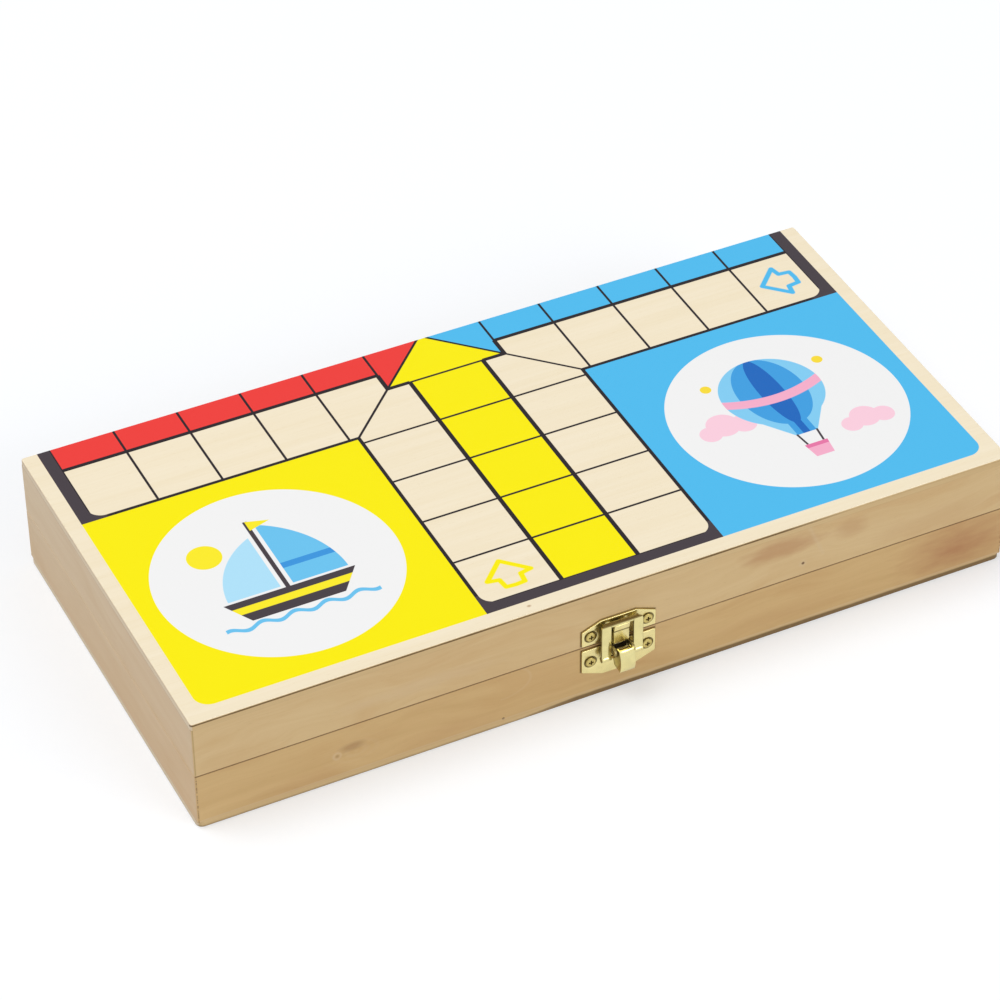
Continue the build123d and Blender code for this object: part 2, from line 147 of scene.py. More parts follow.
class Finish:
    """A material, built up from nodes."""

    def __init__(self, name):
        self.material = bpy.data.materials.new(name)
        self.material.use_nodes = True
        self.tree = self.material.node_tree
        self.shader = self.tree.nodes["Principled BSDF"]
        place = self.node("ShaderNodeTexCoord", out="Object")
        split = self.node("ShaderNodeSeparateXYZ", sockets={0: place}, out=None)
        self.x, self.y, self.z = [Value(self, split.outputs[i]) * (1 / MM) for i in range(3)]

    def node(self, kind, settings=None, sockets=None, out=0):
        """Adds a node: its settings first, then the values or links of its sockets."""
        made = self.tree.nodes.new(kind)
        for name, setting in (settings or {}).items():
            setattr(made, name, setting)
        for name, value in (sockets or {}).items():
            if isinstance(value, Value):
                self.tree.links.new(value.socket, made.inputs[name])
            else:
                made.inputs[name].default_value = value
        return made if out is None else Value(self, made.outputs[out])

    def math(self, operation, *terms, clamp=False):
        settings = {"operation": operation, "use_clamp": clamp}
        return self.node("ShaderNodeMath", settings, dict(enumerate(terms)))

    def noise(self, x, y, z, detail=3.0, distortion=0.0):
        """Noise from 0 to 1, about one cloud to each unit of the three coordinates."""
        place = self.node("ShaderNodeCombineXYZ", sockets={0: x, 1: y, 2: z})
        return self.node("ShaderNodeTexNoise", sockets={
            "Vector": place, "Scale": 1.0, "Detail": detail, "Roughness": 0.55, "Distortion": distortion})

    def mix(self, share, first, second):
        """The first colour, painted over with the second by that share."""
        return self.node("ShaderNodeMix", {"data_type": "RGBA"}, {0: share, 6: first, 7: second}, out=2)

    def set(self, **sockets):
        """Sets or links the shader's sockets, each named with _ for a space."""
        for name, value in sockets.items():
            target = self.shader.inputs[name.replace("_", " ")]
            if isinstance(value, Value):
                self.tree.links.new(value.socket, target)
            else:
                target.default_value = value

    def bump(self, height, strength, distance):
        sockets = {"Strength": strength, "Distance": distance, "Height": height}
        self.set(Normal=self.node("ShaderNodeBump", sockets=sockets, out="Normal"))

    def dress(self, piece):
        piece.data.materials.clear()
        piece.data.materials.append(self.material)

    def cover(self, *nodes):
        """Gives the material to solids that stay as they are."""
        for name in nodes:
            self.dress(frame["nodes"][name])


def colour(red, green, blue):
    """A screen colour, 0 to 255, as Blender's linear numbers."""
    def linear(level):
        level /= 255
        return level / 12.92 if level <= 0.04045 else ((level + 0.055) / 1.055) ** 2.4
    return (linear(red), linear(green), linear(blue), 1.0)


def deeper(base, share):
    """That share of a colour's light."""
    return tuple(level * share for level in base[:3]) + (1.0,)


def length_of(a, b):
    return (a * a + b * b) ** 0.5


# ---- Wood

def fine_grain(f, along, a, b):
    """Soft light and dark streaks of a close-grained pale wood, from 0 to 1."""
    streaks = f.noise(along * 0.011, a * 0.3, b * 0.3, detail=4.0)
    hairs = f.noise(along * 0.04, a * 1.9, b * 1.9, detail=2.0)
    return (streaks * 0.7 + hairs * 0.3 - 0.5) * 1.9 + 0.5


def pores(f, along, a, b):
    """Short thin dark marks along the grain."""
    marks = f.noise(along * 0.28, a * 4.2, b * 4.2, detail=1.0)
    return ((marks - 0.67) * 9.0).clamp()


def dab(f, a, b, middle, size, strength):
    """A soft ragged patch of the grain, from 0 to about 1. A strong one is flat over its middle."""
    edge = f.noise(a * 0.09, b * 0.3, 0.0, detail=4.0)
    away = length_of((a - middle[0]) / size[0], (b - middle[1]) / size[1])
    return ((1.0 - away + (edge - 0.5) * 0.9) * strength).clamp()


def line_at(value, place, half, soft=0.25):
    return (abs(value - place) - half).inside(soft)


def disc(a, b, middle, radius, squash=1.0):
    """The distance outside a round patch."""
    return length_of(a - middle[0], (b - middle[1]) * squash) - radius


def plate_edge(f):
    """The distance outside the catch's two plates, on the front walls."""
    past_side = abs(f.x - CATCH_MIDDLE) - PLATE_HALF_WIDTH
    level = f.z - SEAM
    up, out = CORNER_SLOPE
    keeper_corner = (level - KEEPER_SHOULDER) * up + past_side * out
    keeper = past_side.high(PLATE_GAP - level).high(keeper_corner).high(level - KEEPER_TOP)
    body_corner = (-BODY_SHOULDER - level) * up + past_side * out
    body = past_side.high(level + PLATE_GAP).high(body_corner).high(-BODY_BOTTOM - level)
    return keeper.low(body)


SEAM_GROOVE_SHADE = colour(116, 84, 46)
MITRE_LINE = colour(150, 122, 62)
MITRE_DASHES = colour(116, 78, 48)
PLATE_RIM_SHADOW = colour(84, 60, 34)
CATCH_SHADE = colour(26, 16, 10)
SHADE_HALF_WIDTH = 4.4          # of the painted shade in the gap behind the catch
SHADE_HALF_HEIGHT = 3.4
SHADE_DROP = 1.6                # from the seam to its middle


def front_marks(f, tone):
    """The seam with painted shade in its groove, the mitres, a painted shadow round the catch's plates and
    painted shade in the gap behind the catch, all on the outer skin of a front wall.
    """
    skin = f.y < FRONT + SKIN
    # painted shade in the seam's groove
    tone = f.mix(line_at(f.z, SEAM, 0.24) * skin * 0.85, tone, SEAM_GROOVE_SHADE)
    dashes = ((f.noise(f.x * 0.1, 0.0, f.z * 0.9, detail=2.0) - 0.42) * 8.0).clamp()
    mitre = line_at(abs(f.x), HALF_LENGTH - 0.5, 0.16) * skin
    tone = f.mix(mitre * (f.z > SEAM) * 0.6, tone, MITRE_LINE)
    tone = f.mix(mitre * (f.z < SEAM) * dashes * 0.8, tone, MITRE_DASHES)
    # a painted shadow round the catch's plates
    tone = f.mix((plate_edge(f) - 0.3).inside(0.5) * skin * 0.85, tone, PLATE_RIM_SHADOW)
    # painted shade in the gap behind the catch's loop
    beside = abs(f.x - CATCH_MIDDLE) - SHADE_HALF_WIDTH
    within = beside.high(abs(f.z - SEAM + SHADE_DROP) - SHADE_HALF_HEIGHT)
    return f.mix(within.inside(0.6) * skin * 0.92, tone, CATCH_SHADE)


REDDISH = colour(185, 131, 87)
PALE_STREAK = colour(222, 196, 158)
KNOT = colour(104, 72, 44)

# Places on the front are along the box from its middle and down from its top, in millimetres.
LID_PATCHES = (                 # each a middle, a size, a share and a colour
    ((62.0, 8.0), (18.0, 5.5), 0.55, REDDISH),
    ((88.5, 8.5), (8.0, 5.0), 0.3, REDDISH),
    ((122.0, 17.0), (30.0, 6.0), 0.15, REDDISH),
    ((-70.0, 15.0), (34.0, 4.0), 0.25, PALE_STREAK),
)
BASE_PATCHES = (
    ((133.0, 33.0), (28.0, 16.0), 0.95, REDDISH),
    ((-112.0, 40.0), (20.0, 4.0), 0.2, REDDISH),
    ((-60.0, 39.0), (24.0, 5.0), 0.2, REDDISH),
    ((60.0, 37.0), (34.0, 5.0), 0.2, REDDISH),
)
LID_STREAK = (73.0, 3.0), (78.5, 15.5)
LID_PIN = (70.9, 17.3)
BASE_PIN = (-41.0, 41.8)
BASE_SWIRL = (-94.0, 34.0)
BASE_KNOT = (-100.7, 33.8)
KNOT_SHADE = (-95.5, 31.6), (6.0, 2.2)
BASE_ARC = (-42.0, 27.0)


def patches(f, tone, depth, listed, strength):
    """The tone, with a list of ragged patches over it."""
    for middle, size, share, shade in listed:
        tone = f.mix(dab(f, f.x, depth, middle, size, strength) * share, tone, shade)
    return tone


def lid_front_marks(f, tone):
    """The figure of the lid's front board: reddish patches, pale streaks and a pin knot."""
    depth = BOX_HEIGHT - f.z
    tone = patches(f, tone, depth, LID_PATCHES, 1.6)
    streak = from_segment(f.x, depth, *LID_STREAK) - 0.5
    tone = f.mix(streak.inside(1.2) * 0.3, tone, PALE_STREAK)
    pin = disc(f.x, depth, LID_PIN, 0.0)
    tone = f.mix((pin - 1.5).inside(1.0) * 0.3, tone, PALE_STREAK)
    tone = f.mix((pin - 0.55).inside(0.3) * 0.9, tone, KNOT)
    tone = f.mix(line_at(f.z, BOX_HEIGHT - SHEET_THICKNESS - 0.1, 0.12) * 0.1, tone, KNOT)
    return front_marks(f, tone)


def base_front_marks(f, tone):
    """The figure of the base's front board: a knot with its swirl, warm patches and a pin knot."""
    depth = BOX_HEIGHT - f.z
    tone = patches(f, tone, depth, BASE_PATCHES, 0.9)
    swirl = length_of((f.x - BASE_SWIRL[0]) * 0.8, (depth - BASE_SWIRL[1]) * 1.5)
    rings = (swirl * 2.0 + f.noise(f.x * 0.2, 0.0, f.z * 0.5) * 4.0).sine() * 0.5 + 0.5
    tone = f.mix(rings * (1.0 - swirl / 11.0).clamp() * 0.2, tone, PALE_STREAK)
    tone = f.mix(dab(f, f.x, depth, *KNOT_SHADE, 1.6) * 0.55, tone, colour(168, 126, 82))
    knot = disc(f.x, depth, BASE_KNOT, 0.0)
    tone = f.mix((abs(knot - 1.3) - 0.35).inside(0.6) * 0.45, tone, PALE_STREAK)
    tone = f.mix((knot - 0.6).inside(0.6) * 0.4, tone, colour(150, 108, 66))
    arc = length_of((f.x - BASE_ARC[0]) * 0.9, (depth - BASE_ARC[1]) * 1.6) - 10.0
    tone = f.mix((abs(arc) - 0.3).inside(0.8) * (f.x > BASE_ARC[0]) * 0.25, tone, PALE_STREAK)
    tone = f.mix(disc(f.x, depth, BASE_PIN, 0.5).inside(0.3) * 0.85, tone, KNOT)
    tone = f.mix(line_at(f.z, SHEET_THICKNESS + 0.4, 0.3) * 0.45, tone, PALE_STREAK)
    return front_marks(f, tone)


END_WARMTH = colour(215, 171, 114)
END_FADE = 150.0                # the length over which the ends' warm tone fades to the back
END_SEAM_LINE = colour(150, 120, 86)
GLUE_LINE = colour(150, 122, 90)
BACK_SEAM_LINE = colour(130, 96, 60)


def end_marks(f, tone):
    """A warmer, darker tone low down and towards the front, a tight seam and the glue lines of the sheets."""
    skin = abs(f.x) > HALF_LENGTH - 0.4
    low_down = (1.0 - f.z / BOX_HEIGHT) * 0.3 + (0.5 - f.y / END_FADE) * 0.25
    tone = f.mix(low_down.clamp(), tone, END_WARMTH)
    tone = f.mix(line_at(f.z, SEAM, 0.08, 0.2) * skin * 0.3, tone, END_SEAM_LINE)
    for level in (SHEET_THICKNESS, BOX_HEIGHT - SHEET_THICKNESS):
        tone = f.mix(line_at(f.z, level, 0.16) * skin * 0.55, tone, GLUE_LINE)
    return tone


def back_marks(f, tone):
    skin = f.y > -FRONT - SKIN
    return f.mix(line_at(f.z, SEAM, 0.1, 0.2) * skin * 0.6, tone, BACK_SEAM_LINE)


# Each wood's light streaks, dark streaks and warm clouds.
LID_WOOD = colour(229, 200, 150), colour(213, 178, 125), colour(210, 168, 114)
BASE_WOOD = colour(224, 190, 134), colour(206, 168, 112), colour(201, 154, 99)
END_WOOD = colour(231, 211, 180), colour(216, 190, 155), colour(212, 180, 138)
WALL_PORES = colour(160, 122, 80)


def wall_wood(name, lengthwise, palette, marks):
    """Sanded pale wood, its grain along the wall, with the marks of that wall."""
    f = Finish(name)
    along, across = (f.x, f.y) if lengthwise else (f.y, f.x)
    light, dark, warm = palette
    drift = f.noise(along * 0.016, across * 0.05, f.z * 0.04, detail=2.0)
    level = f.z + (drift - 0.5) * 22.0
    grain = fine_grain(f, along, across, level)
    clouds = f.noise(along * 0.022, across * 0.06, level * 0.08, detail=4.0, distortion=0.8)
    tone = f.mix((grain * 0.55 + clouds * 0.5 - 0.02).clamp(), light, dark)
    tone = f.mix(((clouds - 0.5) * 3.0).clamp() * 0.5, tone, warm)
    tone = f.mix(pores(f, along, across, f.z) * 0.2, tone, WALL_PORES)
    f.set(Base_Color=marks(f, tone), Roughness=0.5 + grain * 0.12, Specular_IOR_Level=0.35)
    f.bump(grain, 0.1, 0.0002)
    return f


# ---- The printed board

SHEET_PALE = colour(248, 236, 211)
SHEET_STREAKS = colour(240, 224, 190)
SHEET_PIN = (-29.6, 146.8)      # a pin knot in the margin
PIN_BROWN = colour(170, 128, 84)
SHEET_PORES = colour(200, 170, 120)
SIDE_PALE, SIDE_STREAKS = colour(226, 197, 148), colour(210, 177, 126)
END_PALE = colour(228, 207, 176)
# the plywood's core in the lid's edge, and the painted shade along the base's edge
CORE_AND_SHADE = colour(104, 78, 44)
RED = colour(239, 62, 58)
YELLOW = colour(252, 238, 0)
BLUE = colour(80, 189, 240)
GREEN = colour(96, 192, 76)
INK = colour(34, 27, 33)
INK_BAND = colour(68, 60, 66)
DISC_WHITE = colour(244, 244, 244)

PATTERN_CENTRE = 76.0           # behind the box's middle
STRIP = 14.06                   # half a middle strip's width
SQUARE = 22.56                  # half the centre square
CELL = 23.47
ARM = 42.79                     # half an arm's width
CELLS_END = SQUARE + 5 * CELL
PRINT_END = 144.3
DISC_CENTRE = (95.5, 94.4)
DISC_RADIUS = 42.2
YARD_CORNER = 5.5
CELL_CORNER = 5.0
THIN_LINE = 0.45                # half the width of each kind of line
STRIP_LINE = 0.82
THICK_LINE = 0.68
ARROW_MIDDLE = (28.6, 128.4)
ARROW_STROKE = 0.95
ARROW = [(0.0, 6.2), (7.9, -1.7), (3.9, -2.5), (3.4, -6.6), (0.0, -6.9)]


def print_on(f, u, v, arms, yards, arrow_side, motifs, turn):
    """Half a board: u runs along the box and v away from the board's centre."""
    front, left, right = arms
    out_u = abs(u)
    along, across = out_u.high(v), out_u.low(v)
    is_side = out_u > v
    is_right = u > 0.0
    arm_colour = f.mix(is_side, front, f.mix(is_right, left, right))
    yard_colour = f.mix(is_right, *yards)

    corner = PRINT_END - YARD_CORNER
    rounded = length_of((along - corner).high(0.0), (across - corner).high(0.0)) - YARD_CORNER
    in_yard = (along - PRINT_END).high(rounded).inside() * (ARM - across).inside()
    from_disc = length_of(out_u - DISC_CENTRE[0], v - DISC_CENTRE[1])
    tone = f.mix(in_yard, wood_face(f, u, v), yard_colour)
    tone = f.mix((from_disc - DISC_RADIUS).inside(), tone, DISC_WHITE)
    for middle, draw in zip((-DISC_CENTRE[0], DISC_CENTRE[0]), motifs):
        tone = draw(f, tone, (u - middle) * turn, DISC_CENTRE[1] - v)

    in_arm = (across - (ARM + THICK_LINE)).high(along - PRINT_END).inside()
    from_line = abs(f.math("WRAP", along - SQUARE, CELL / 2, -CELL / 2))
    cell_line = (from_line - THIN_LINE).inside() * (along > SQUARE - 2.0)
    strip_side = (abs(across - STRIP) - STRIP_LINE).high(SQUARE - along).inside()
    square_side = (abs(along - SQUARE) - STRIP_LINE).high(STRIP - across).inside()
    arm_side = (abs(across - ARM) - THICK_LINE).inside()
    end_band = (CELLS_END - along).inside()
    diagonal = ((along - across) * math.sqrt(0.5) - THIN_LINE).inside()
    past = along - (CELLS_END - CELL_CORNER)
    round_end = length_of(past.high(0.0), (across - (ARM - THICK_LINE - CELL_CORNER)).high(0.0)) - CELL_CORNER
    rounded_cell = (-round_end).inside() * (past > 0.0)
    lines = cell_line
    for line in (strip_side, square_side, arm_side, diagonal):
        lines = lines.high(line)
    in_colour = (across - STRIP).inside().high((along - SQUARE).inside())
    tone = f.mix(in_arm * in_colour, tone, arm_colour)
    tone = f.mix(in_arm * lines, tone, INK)
    tone = f.mix(in_arm * end_band.high(rounded_cell), tone, INK_BAND)

    stroke = arrow_outline(abs(across - ARROW_MIDDLE[0]), ARROW_MIDDLE[1] - along) - ARROW_STROKE
    faces = (u * arrow_side) * (v - out_u) > 0.0
    tone = f.mix(stroke.inside(0.3) * faces, tone, arm_colour)
    inked = in_arm.high(in_yard)
    return tone, inked


def from_segment(p, q, start, end):
    """The distance from a straight stroke."""
    across, up = end[0] - start[0], end[1] - start[1]
    share = (((p - start[0]) * across + (q - start[1]) * up) / (across ** 2 + up ** 2)).clamp()
    return length_of(p - start[0] - share * across, q - start[1] - share * up)


def arrow_outline(p, q):
    """The distance from a start arrow's outline. Its point is up, and p is how far off its middle."""
    nearest = None
    for start, end in zip(ARROW, ARROW[1:]):
        distance = from_segment(p, q, start, end)
        nearest = distance if nearest is None else nearest.low(distance)
    return nearest


def wood_face(f, u, v):
    """The sheet's bare wood where nothing is printed, with a pin knot in the margin."""
    grain = fine_grain(f, u, v, f.z)
    tone = f.mix((grain * 0.8).clamp(), SHEET_PALE, SHEET_STREAKS)
    pin = length_of((u - SHEET_PIN[0]) * 0.7, v - SHEET_PIN[1]) - 0.45
    tone = f.mix(pin.inside(0.5) * 0.7, tone, PIN_BROWN)
    return f.mix(pores(f, u, v, f.z) * 0.25, tone, SHEET_PORES)


def half_plane(a, b, start, end):
    """The distance from the line through two points, below 0 on its left."""
    across, up = end[0] - start[0], end[1] - start[1]
    size = math.hypot(across, up)
    return (a - start[0]) * (up / size) - (b - start[1]) * (across / size)


def polygon(a, b, *corners):
    """The distance outside a shape whose corners go round anticlockwise."""
    distance = None
    for start, end in zip(corners, corners[1:] + corners[:1]):
        side = half_plane(a, b, start, end)
        distance = side if distance is None else distance.high(side)
    return distance


def sailing_boat(f, tone, a, b):
    yellow, sky = colour(252, 236, 40), colour(108, 196, 240)
    water = (abs(b + 21.5 + (a * 0.55).sine() * 1.1) - 0.9).high(abs(a) - 27.0)
    tone = f.mix(disc(a, b, (-19.0, 17.0), 6.0).inside(), tone, yellow)
    tone = f.mix((abs(a) - 0.8).high(abs(b - 8.0) - 20.0).inside(), tone, INK_BAND)
    main_sail = disc(a, b, (-16.0, -8.0), 38.0).high(2.2 - a).high(-7.5 - b)
    jib = disc(a, b, (12.0, -10.0), 33.0).high(a + 2.2).high(-7.5 - b)
    tone = f.mix(main_sail.inside(), tone, sky)
    tone = f.mix(jib.inside(), tone, colour(176, 226, 250))
    tone = f.mix(main_sail.high(abs(b - 2.0) - 1.4).inside(), tone, colour(60, 150, 222))
    flag = polygon(a, b, (0.0, 28.0), (0.0, 23.0), (8.0, 25.5))
    tone = f.mix(flag.inside(), tone, yellow)
    hull = polygon(a, b, (-23.0, -8.5), (-17.0, -19.0), (16.0, -19.0), (24.0, -8.5))
    tone = f.mix(hull.inside(), tone, INK_BAND)
    tone = f.mix(hull.high(abs(b + 13.2) - 1.7).inside(), tone, yellow)
    return f.mix(water.inside(), tone, sky)


def hot_air_balloon(f, tone, a, b):
    pink, pale_pink = colour(247, 176, 204), colour(252, 208, 224)
    light, middle, deep = colour(132, 206, 244), colour(64, 160, 226), colour(28, 104, 190)
    cloud = disc(a, b, (-24.0, 2.0), 6.0)
    for place, radius in (((-17.0, 0.0), 4.6), ((-30.0, -0.6), 4.0),
                          ((22.0, -15.0), 5.4), ((28.5, -16.5), 4.0), ((16.0, -17.0), 3.8)):
        cloud = cloud.low(disc(a, b, place, radius))
    tone = f.mix(cloud.inside(), tone, pale_pink)
    for place in ((-20.0, 22.0), (23.0, 20.0)):
        tone = f.mix(disc(a, b, place, 2.0).inside(), tone, colour(250, 222, 60))
    radius = 18.6
    neck = polygon(a, b, (-17.6, 5.0), (-4.2, -14.0), (4.2, -14.0), (17.6, 5.0))
    envelope = disc(a, b, (0.0, 11.0), radius).low(neck)
    taper = f.math("SQRT", (1.0 - ((b - 11.0) / 19.0) ** 2.0).high(0.09))
    gore = abs(a / (taper * radius))
    tone = f.mix(envelope.inside(), tone, light)
    tone = f.mix(envelope.inside() * ((gore - 0.66) * radius).inside(), tone, middle)
    tone = f.mix(envelope.inside() * ((gore - 0.24) * radius).inside(), tone, deep)
    band = abs(b - 7.0 - a * a * 0.012) - 2.2
    tone = f.mix(envelope.high(band).inside(), tone, pink)
    ropes = from_segment(abs(a), b, (3.8, -14.0), (3.0, -20.5)) - 0.4
    tone = f.mix(ropes.inside(), tone, INK_BAND)
    basket = polygon(a, b, (-4.4, -20.0), (-3.4, -27.0), (3.4, -27.0), (4.4, -20.0))
    tone = f.mix(basket.inside(), tone, pink)
    return f.mix(basket.high(abs(b + 21.0) - 0.9).inside(), tone, colour(232, 120, 168))


def apple(f, tone, a, b):
    fruit = disc(abs(a), b, (7.0, -3.0), 15.5).low(disc(a, b, (0.0, -6.0), 17.5))
    tone = f.mix(fruit.inside(), tone, colour(232, 62, 58))
    tone = f.mix(disc(a, b, (-11.0, 3.0), 3.2, 0.7).inside(), tone, colour(250, 170, 160))
    stalk = from_segment(a, b, (0.0, 8.0), (2.0, 19.0)) - 1.2
    tone = f.mix(stalk.inside(), tone, colour(120, 78, 44))
    leaf = disc(a, b, (12.0, 8.0), 12.0).high(disc(a, b, (4.0, 23.0), 12.0))
    return f.mix(leaf.inside(), tone, colour(96, 186, 76))


def clover(f, tone, a, b):
    stalk = from_segment(a, b, (0.0, 0.0), (6.0, -27.0)) - 1.3
    tone = f.mix(stalk.inside(), tone, colour(58, 140, 56))
    leaves = disc(abs(a), abs(b - 3.0), (8.6, 8.6), 9.6).low(disc(a, b, (0.0, 3.0), 5.0))
    tone = f.mix(leaves.inside(), tone, colour(92, 186, 74))
    veins = from_segment(abs(a), abs(b - 3.0), (2.0, 2.0), (11.0, 11.0)) - 0.5
    return f.mix(veins.inside(), tone, colour(190, 228, 150))


def printed_sheet(name, outer, upward, arms, yards, arrow_side, motifs, turn, core_and_shade):
    """A sheet of thin plywood, printed on its outer face, with a dark line in its edge: the plywood's core on
    the lid, painted shade on the base.
    """
    f = Finish(name)
    u, v = f.x, PATTERN_CENTRE - f.y
    face, inked = print_on(f, u, v, arms, yards, arrow_side, motifs, turn)
    depth = (outer - f.z) * upward
    on_face = (depth - 0.1).inside(0.08)
    grain = fine_grain(f, f.x, f.y, f.z)
    at_end = abs(f.x) > HALF_LENGTH - 0.6
    along_side = f.mix((grain * 0.8).clamp(), SIDE_PALE, SIDE_STREAKS)
    edge = f.mix(at_end, along_side, END_PALE)
    wander = f.noise(f.x * 0.06, f.y * 0.06, 0.0)
    edge = f.mix(core_and_shade(f, depth, (wander - 0.5) * 0.5), edge, CORE_AND_SHADE)
    f.set(Base_Color=f.mix(on_face, edge, face), Roughness=0.42 - on_face * inked * 0.06,
          Specular_IOR_Level=0.12)
    f.bump(grain, 0.06, 0.0002)
    return f


def lid_core(f, depth, wander):
    """How dark the plywood shows in the lid's edge: one thin line under the face, along the front."""
    front = f.y < FRONT + 1.0
    line = (abs(depth - 0.55) - 0.3 + wander).inside(0.3)
    return line * (front * ((90.0 - f.x) / 30.0).clamp() * 0.8 + 0.12)


def base_edge_shade(f, depth, wander):
    """Painted shade on the base's edge where its rounding faces down: a dark line on the floor, wider along
    the front's right half.
    """
    front = f.y < FRONT + 1.0
    wide = front * ((f.x + 34.0) / 20.0).clamp()
    line = (depth - 0.35 - front * 0.4 - wide * 1.25 + wander * 1.4).inside(0.7)
    return line * (0.5 + wide * 0.3)


# ---- Metal, lacquer and plastic

# darkens the brass where painted shade, painted dark reflections and tarnish lie
TARNISH_AND_SHADE = colour(80, 55, 20)
TONGUE_OUT = 1.6                # of the upper plate, only its tongue stands out further than this
TONGUE_CREASE = 5.1             # the painted shade just above the tongue's kink, above the seam
LUGS_TOP = 0.9                  # just over the lower plate's lugs, below the seam


def brass(name, base, roughness, shade=None):
    """Polished brass, faintly rubbed, and dark where the shade function paints shade, dark reflections and
    tarnish.
    """
    f = Finish(name)
    wear = f.noise(f.x * 0.35, f.y * 0.35, f.z * 0.35)
    rubbing = f.noise(f.x * 6.0, f.y * 6.0, f.z * 0.8, detail=2.0)
    tone = f.mix((wear * 1.4 - 0.3).clamp(), base, deeper(base, 0.84))
    rough = roughness + wear * 0.06 + rubbing * 0.04
    if shade:
        shade_and_tarnish = shade(f)
        tone = f.mix(shade_and_tarnish, tone, TARNISH_AND_SHADE)
        rough = rough + shade_and_tarnish * 0.3
    f.set(Base_Color=tone, Metallic=1.0, Roughness=rough)
    f.bump(rubbing, 0.03, 0.0001)
    return f


def from_catch_screw(f):
    """The distance from the nearest of the catch's four screws, across the front."""
    low, high = reach("catch_keeper_screws")
    keeper_level = (low.z + high.z) / 2
    spacing = (high.x - low.x) / 2 - CATCH_HEAD_RADIUS
    low, high = reach("catch_body_screws")
    body_level = (low.z + high.z) / 2
    across = abs(f.x - CATCH_MIDDLE) - spacing
    return length_of(across, f.z - keeper_level).low(length_of(across, f.z - body_level))


def painted_shade_on_plates(f):
    """Painted shade, with some tarnish, on the catch's plates: under the loop, round the screws, along the
    cut edges, at the tongue's kink and on the lugs."""
    out = FRONT - f.y
    loop_middle, loop_half = (loop_low.z + loop_high.z) / 2, (loop_high.z - loop_low.z) / 2
    past_leg = abs(f.x - CATCH_MIDDLE) - LOOP_HALF_WIDTH
    covered = past_leg.high(abs(f.z - loop_middle + 0.4) - loop_half + 1.0)
    ring = abs(from_catch_screw(f) - CATCH_HEAD_RADIUS - 0.2) - 0.3
    low_down = out < PLATE_THICKNESS + 0.15
    edge = (out - 0.35).inside(0.3) * 0.8
    crease = line_at(f.z, SEAM + TONGUE_CREASE, 0.3) * (out > TONGUE_OUT) * 0.75
    lugs = (out > PLATE_THICKNESS + 0.15) * (f.z < SEAM - LUGS_TOP) * 0.6
    under_legs = (abs(covered + 0.7) - 0.3).inside(1.6) * 0.8
    flat = (covered.inside(2.4) * 0.3).high(under_legs).high(ring.inside(0.3) * 0.75)
    return (flat * low_down.high(edge)).high(crease).high(lugs)


def painted_shade_on_loop(f):
    """Painted shade on the loop: a painted dark reflection on its flange, shade along the cut edges of its
    legs and on the lever's cheeks.
    """
    across = abs(f.x - CATCH_MIDDLE)
    flange = (f.z > loop_high.z - 0.3) * 0.8
    inner = line_at(across, LOOP_WINDOW / 2, 0.12, 0.2)
    outer = (LOOP_HALF_WIDTH - 0.14 - across).inside(0.2)
    cheek = line_at(across, LEVER_WIDTH / 2, 0.05, 0.05) * (f.z < SEAM)
    fading = ((f.z - SEAM) / 12.0 + 1.0).clamp() * 0.7 + 0.1
    return flange.high(inner.high(outer) * 0.65).high(cheek * fading)


def painted_shade_on_screws(f):
    """Painted shade, with dirt, in the screws' cross recesses, over the middles of their heads and round
    their rims.
    """
    out = FRONT - f.y
    radius = from_catch_screw(f)
    recess = (radius - 1.2).inside(0.2) * (out < PLATE_THICKNESS + 0.42)
    rim = (1.55 - radius).inside(0.4) * 0.45
    middle_shade = (radius - 0.8).inside(1.0) * 0.5
    return (recess * 0.9).high(rim).high(middle_shade)


def lacquer(name, base):
    """Coloured lacquer over turned wood: faint rings of the turning, and a gloss."""
    f = Finish(name)
    rings = f.noise(f.x * 0.02, f.y * 0.02, f.z * 1.6, detail=2.0)
    clouds = f.noise(f.x * 0.2, f.y * 0.2, f.z * 0.2)
    tone = f.mix((rings * 0.6 + clouds * 0.5 - 0.2).clamp(), base, deeper(base, 0.78))
    f.set(Base_Color=tone, Roughness=0.28 + clouds * 0.1, Coat_Weight=0.4)
    f.bump(rings, 0.08, 0.0002)
    return f


DIE_HALF = 6.0
DIE_PLACE = -68.0               # along the box, from its middle
DIE_TURN = math.radians(20.0)


def die_plastic():
    """Ivory white plastic, and black in the dimples of the pips, which lie below the die's faces."""
    f = Finish("die_white")
    a, b = f.x - DIE_PLACE, f.y
    across = abs(a * math.cos(DIE_TURN) + b * math.sin(DIE_TURN))
    along = abs(b * math.cos(DIE_TURN) - a * math.sin(DIE_TURN))
    up = abs(f.z - SHEET_THICKNESS - DIE_HALF)
    largest = across.high(along).high(up)
    middle = across + along + up - largest - across.low(along).low(up)
    pip = (largest < DIE_HALF - 0.04) * (middle < 4.6)
    clouds = f.noise(f.x * 0.4, f.y * 0.4, f.z * 0.4)
    white = f.mix(clouds, colour(247, 245, 238), colour(238, 235, 224))
    tone = f.mix(pip, white, colour(30, 30, 34))
    f.set(Base_Color=tone, Roughness=0.25 + clouds * 0.08, Coat_Weight=0.3)
    return f


# ---- Fittings and playing pieces with their edges finished

SHARP = math.radians(38.0)      # edges that turn by more are sharp


